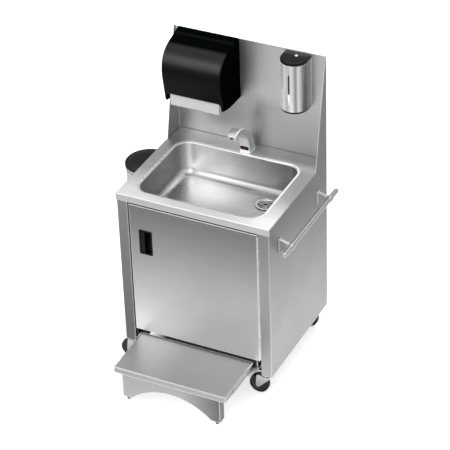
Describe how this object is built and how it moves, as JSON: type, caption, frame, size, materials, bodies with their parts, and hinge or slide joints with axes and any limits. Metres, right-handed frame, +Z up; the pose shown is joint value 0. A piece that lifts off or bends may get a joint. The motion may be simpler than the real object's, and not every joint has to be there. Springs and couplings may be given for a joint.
{
  "type": "portable handwash sink",
  "caption": "Free-standing stainless handwash sink cabinet on swivel casters with a backsplash, hinged door, pull-out step, sensor faucet, towel and soap dispensers, side handle and lidded bin.",
  "frame": {"origin": "bottom centre of the whole object: floor level, midway between the bin and the side handle, and midway between the step front and the bin back", "axes": "+Z up, -Y the front where a person stands on the step, +Y out of the rear panel, +X towards the side with the push handle"},
  "size_m": [0.971, 0.852, 1.343],
  "materials": {
    "steel_sheet": "brushed",
    "steel_deck": "satin",
    "steel_bowl": "satin",
    "steel_polished": "polished",
    "chrome": "polished",
    "zinc": "zinc plated",
    "black_plastic": "satin",
    "grey_plastic": "satin",
    "white_plastic": "satin",
    "clear_blue": "gloss",
    "dark_lens": "gloss",
    "rubber": "matte",
    "paper": "matte",
    "tubing": "satin"
  },
  "bodies": {
    "cabinet": {"side_panel_left": "steel_sheet", "side_panel_right": "steel_sheet", "rear_panel": "steel_sheet", "backsplash": "steel_sheet", "deck": "steel_deck", "basin": "steel_bowl", "header_rail": "steel_sheet", "floor_pan": "steel_sheet", "base_sills": "steel_sheet", "slide_outer_rails": "zinc", "caster_plates": "zinc", "drain_strainer": "steel_polished", "drain_tailpiece": "white_plastic", "waste_hose": "tubing", "waste_tank": "white_plastic", "fresh_tank": "white_plastic", "pump": "black_plastic", "water_heater": "white_plastic", "supply_tubes": "tubing", "faucet_body": "chrome", "faucet_aerator": "black_plastic", "faucet_lens": "dark_lens", "soap_body": "steel_polished", "soap_base": "black_plastic", "soap_tank": "white_plastic", "soap_window": "clear_blue", "towel_chassis": "black_plastic", "paper_tail": "paper", "handle_bar": "steel_polished", "handle_brackets": "steel_polished", "bin_bracket": "steel_sheet", "hinge_leaf_jamb": "steel_sheet", "magnetic_catch": "grey_plastic", "fasteners": "zinc"},
    "door": {"door_panel": "steel_sheet", "hinge_leaf_door": "steel_sheet", "pull_housing": "black_plastic", "strike_plate": "zinc"},
    "pull": {"pull_paddle": "black_plastic"},
    "step": {"step_tread": "steel_deck", "step_apron": "steel_sheet", "slide_inner_rails": "zinc", "step_roller_brackets": "zinc"},
    "slide_middle": {"slide_middle_rails": "zinc"},
    "step_roller_left": {"step_roller_left": "rubber"},
    "step_roller_right": {"step_roller_right": "rubber"},
    "towel_cover": {"towel_cover": "black_plastic"},
    "paper_roll": {"paper_roll": "paper"},
    "feed_roller": {"feed_roller": "rubber"},
    "soap_lid": {"soap_lid": "black_plastic"},
    "bin": {"bin_can": "steel_polished"},
    "bin_lid": {"bin_lid": "black_plastic"},
    "caster_front_left": {"caster_fork_front_left": "zinc"},
    "wheel_front_left": {"caster_wheel_front_left": "rubber"},
    "caster_front_right": {"caster_fork_front_right": "zinc"},
    "wheel_front_right": {"caster_wheel_front_right": "rubber"},
    "caster_rear_left": {"caster_fork_rear_left": "zinc"},
    "wheel_rear_left": {"caster_wheel_rear_left": "rubber"},
    "caster_rear_right": {"caster_fork_rear_right": "zinc"},
    "wheel_rear_right": {"caster_wheel_rear_right": "rubber"}
  },
  "joints": [
    {"name": "door_swing", "type": "hinge", "parent": "cabinet", "child": "door", "pos_m": [0.36575, -0.1636, 0.495], "axis": [0, 0, 1], "range_deg": [0, 110]},
    {"name": "pull_lift", "type": "hinge", "parent": "door", "child": "pull", "pos_m": [-0.165, -0.1615, 0.637], "axis": [0, 0, -1], "range_deg": [0, 25]},
    {"name": "step_slide", "type": "slide", "parent": "cabinet", "child": "step", "axis": [0, 1, 0], "range_m": [0, 0.26]},
    {"name": "middle_rail_slide", "type": "slide", "parent": "cabinet", "child": "slide_middle", "axis": [0, 1, 0], "range_m": [0, 0.13]},
    {"name": "towel_cover_swing", "type": "hinge", "parent": "cabinet", "child": "towel_cover", "pos_m": [-0.1115, 0.396, 1.066], "axis": [1, 0, 0], "range_deg": [0, 75]},
    {"name": "paper_roll_spin", "type": "hinge", "parent": "cabinet", "child": "paper_roll", "pos_m": [-0.1095, 0.317, 1.229], "axis": [1, 0, 0], "continuous": true},
    {"name": "feed_roller_spin", "type": "hinge", "parent": "cabinet", "child": "feed_roller", "pos_m": [-0.1095, 0.272, 1.122], "axis": [1, 0, 0], "continuous": true},
    {"name": "soap_lid_lift", "type": "hinge", "parent": "cabinet", "child": "soap_lid", "pos_m": [0.2925, 0.396, 1.33], "axis": [-1, 0, 0], "range_deg": [0, 80]},
    {"name": "bin_lift_out", "type": "slide", "parent": "cabinet", "child": "bin", "axis": [0, 0, 1], "range_m": [0, 0.33]},
    {"name": "bin_lid_lift", "type": "hinge", "parent": "bin", "child": "bin_lid", "pos_m": [-0.2795, 0.321, 0.6915], "axis": [0, 1, 0], "range_deg": [0, 80]},
    {"name": "step_roller_left_spin", "type": "hinge", "parent": "step", "child": "step_roller_left", "pos_m": [-0.1325, -0.402, 0.007], "axis": [1, 0, 0], "continuous": true},
    {"name": "step_roller_right_spin", "type": "hinge", "parent": "step", "child": "step_roller_right", "pos_m": [0.2795, -0.402, 0.007], "axis": [1, 0, 0], "continuous": true},
    {"name": "caster_front_left_swivel", "type": "hinge", "parent": "cabinet", "child": "caster_front_left", "pos_m": [-0.2315, -0.13, 0.095], "axis": [0, 0, 1], "continuous": true},
    {"name": "wheel_front_left_spin", "type": "hinge", "parent": "caster_front_left", "child": "wheel_front_left", "pos_m": [-0.2655, -0.13, 0.0435], "axis": [0, 1, 0], "continuous": true},
    {"name": "caster_front_right_swivel", "type": "hinge", "parent": "cabinet", "child": "caster_front_right", "pos_m": [0.3785, -0.13, 0.095], "axis": [0, 0, 1], "continuous": true},
    {"name": "wheel_front_right_spin", "type": "hinge", "parent": "caster_front_right", "child": "wheel_front_right", "pos_m": [0.3445, -0.13, 0.0435], "axis": [0, 1, 0], "continuous": true},
    {"name": "caster_rear_left_swivel", "type": "hinge", "parent": "cabinet", "child": "caster_rear_left", "pos_m": [-0.2315, 0.374, 0.095], "axis": [0, 0, 1], "continuous": true},
    {"name": "wheel_rear_left_spin", "type": "hinge", "parent": "caster_rear_left", "child": "wheel_rear_left", "pos_m": [-0.2655, 0.374, 0.0435], "axis": [0, 1, 0], "continuous": true},
    {"name": "caster_rear_right_swivel", "type": "hinge", "parent": "cabinet", "child": "caster_rear_right", "pos_m": [0.3785, 0.374, 0.095], "axis": [0, 0, 1], "continuous": true},
    {"name": "wheel_rear_right_spin", "type": "hinge", "parent": "caster_rear_right", "child": "wheel_rear_right", "pos_m": [0.3445, 0.374, 0.0435], "axis": [0, 1, 0], "continuous": true}
  ],
  "couplings": [
    {"joint": "middle_rail_slide", "follows": "step_slide", "ratio": 0.5},
    {"joint": "feed_roller_spin", "follows": "paper_roll_spin", "ratio": 6.818}
  ]
}
